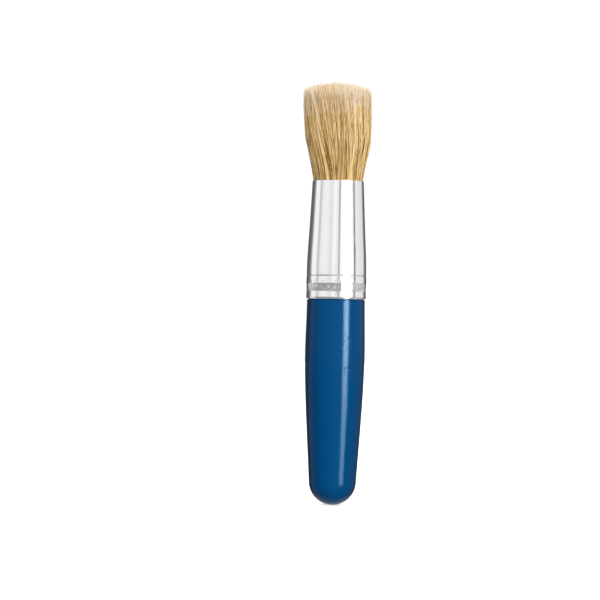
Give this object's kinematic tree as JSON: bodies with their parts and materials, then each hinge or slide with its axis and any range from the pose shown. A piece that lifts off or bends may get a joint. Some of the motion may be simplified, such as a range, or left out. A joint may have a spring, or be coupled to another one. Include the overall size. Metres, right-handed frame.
{
  "type": "round stencil brush",
  "caption": "Short, thick round stencil brush: domed hog-bristle head in a crimped tapered metal ferrule on a rounded painted wooden handle",
  "frame": {"origin": "the lowest point of the handle's rounded butt, on the brush's axis", "axes": "+Z runs along the axis from the butt of the handle to the bristle tips; +X and +Y are across it, and the brush is the same all round"},
  "size_m": [0.0216, 0.0218, 0.1405],
  "materials": {
    "handle_wood": "matte",
    "blue_enamel": "gloss",
    "ferrule_aluminium": "polished",
    "set_resin": "gloss",
    "tie_thread": "matte",
    "hog_bristle": "matte"
  },
  "bodies": {
    "root": {"handle": "handle_wood", "handle_paint": "blue_enamel", "ferrule": "ferrule_aluminium", "root_resin": "set_resin", "binding_thread": "tie_thread", "bristle_tuft": "hog_bristle"}
  },
  "joints": []
}
